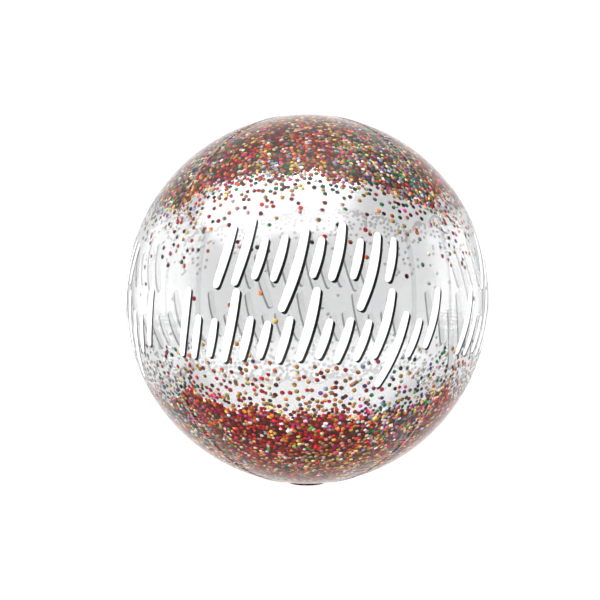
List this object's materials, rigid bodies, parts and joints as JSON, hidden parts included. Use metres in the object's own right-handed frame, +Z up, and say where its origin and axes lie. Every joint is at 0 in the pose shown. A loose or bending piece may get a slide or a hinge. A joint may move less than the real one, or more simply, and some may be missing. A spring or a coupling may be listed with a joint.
{
  "type": "sphere foil balloon",
  "caption": "Inflated clear film sphere balloon, welded from gores and printed with bands of confetti dots and brush strokes, resting on its folded filling neck.",
  "frame": {"origin": "on the ground below the globe's vertical axis, in the plane of the filling neck's flat underside", "axes": "+Z up through both poles; the gore with the main print faces -Y; +X is to the right of a viewer facing that print"},
  "size_m": [0.391, 0.391, 0.4],
  "materials": {
    "clear_film": "clear glossy plastic film, slightly hazy, printed with multicoloured confetti dots and white strokes with black drop shadows",
    "neck_film": "several layers of the same clear film, printed with confetti dots"
  },
  "bodies": {
    "root": {"film_globe": "clear_film", "filling_neck": "neck_film"}
  },
  "joints": []
}
